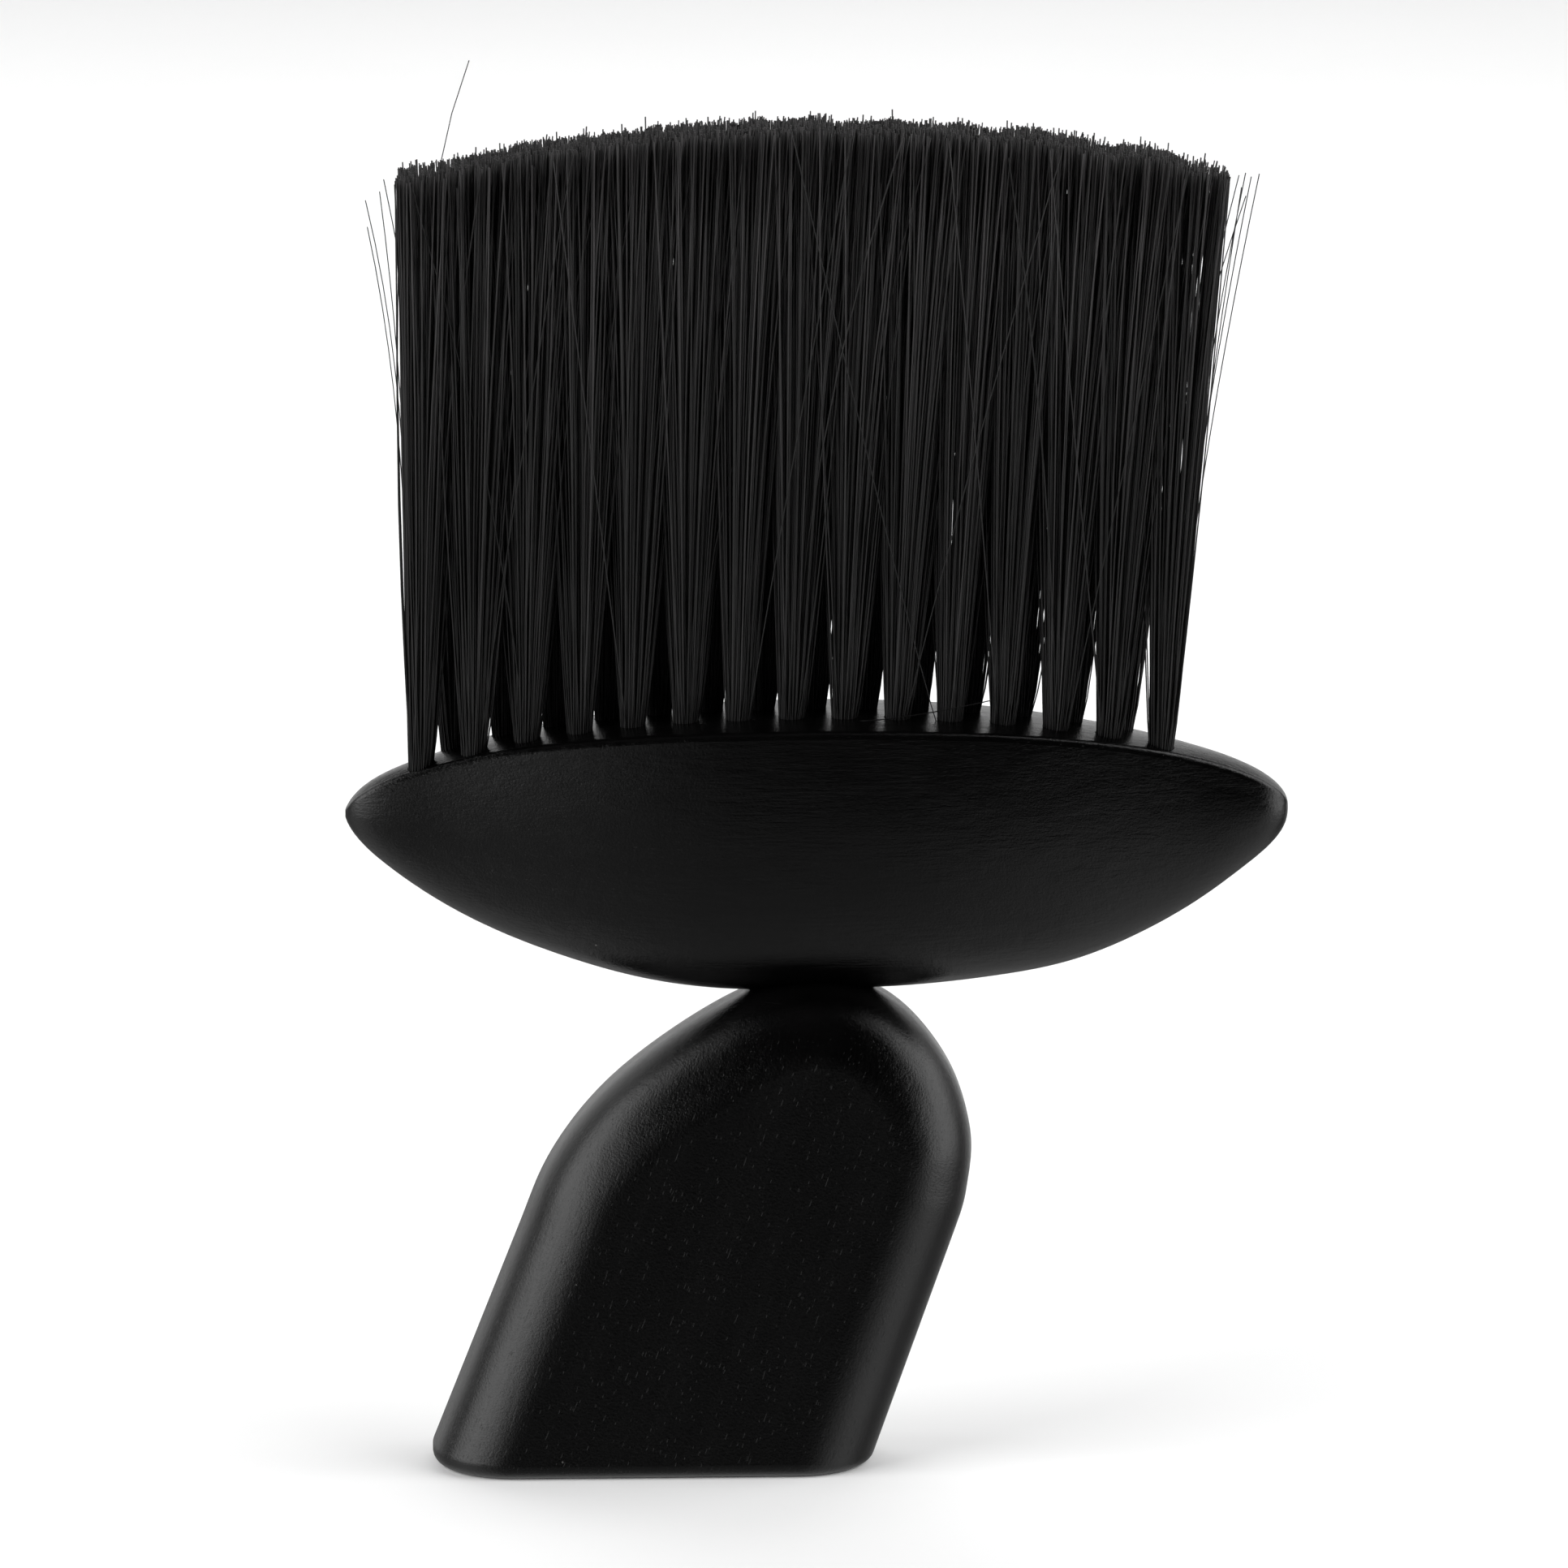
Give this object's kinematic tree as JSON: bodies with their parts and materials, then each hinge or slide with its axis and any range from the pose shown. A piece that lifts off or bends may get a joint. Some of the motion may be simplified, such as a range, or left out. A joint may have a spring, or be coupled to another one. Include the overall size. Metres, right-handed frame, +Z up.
{
  "type": "neck duster brush",
  "caption": "Free-standing neck duster brush: boat-shaped wooden head with two staggered rows of soft black bristles, on a leaning rounded wooden grip.",
  "frame": {"origin": "on the floor plane under the middle of the head: middle of the whole object's length and thickness, at the level of the grip's flat foot", "axes": "+X along the head, away from the side the grip's foot leans to; +Y through the thickness, from the front row of tufts to the rear row; +Z up, from the foot to the bristle tips"},
  "size_m": [0.121, 0.0224, 0.1747],
  "materials": {
    "lacquered_wood": "black stained hardwood under a satin-gloss lacquer, fine grain showing through",
    "bare_wood": "plain turned beech dowel, glued",
    "wire": "flat galvanised anchor wire",
    "bristle": "black nylon filament with a soft sheen"
  },
  "bodies": {
    "root": {"head_block": "lacquered_wood", "handle": "lacquered_wood", "dowel": "bare_wood", "front_anchors": "wire", "rear_anchors": "wire", "tuft_front_01": "bristle", "tuft_front_02": "bristle", "tuft_front_03": "bristle", "tuft_front_04": "bristle", "tuft_front_05": "bristle", "tuft_front_06": "bristle", "tuft_front_07": "bristle", "tuft_front_08": "bristle", "tuft_front_09": "bristle", "tuft_front_10": "bristle", "tuft_front_11": "bristle", "tuft_front_12": "bristle", "tuft_front_13": "bristle", "tuft_front_14": "bristle", "tuft_front_15": "bristle", "tuft_rear_01": "bristle", "tuft_rear_02": "bristle", "tuft_rear_03": "bristle", "tuft_rear_04": "bristle", "tuft_rear_05": "bristle", "tuft_rear_06": "bristle", "tuft_rear_07": "bristle", "tuft_rear_08": "bristle", "tuft_rear_09": "bristle", "tuft_rear_10": "bristle", "tuft_rear_11": "bristle", "tuft_rear_12": "bristle", "tuft_rear_13": "bristle", "tuft_rear_14": "bristle"}
  },
  "joints": []
}
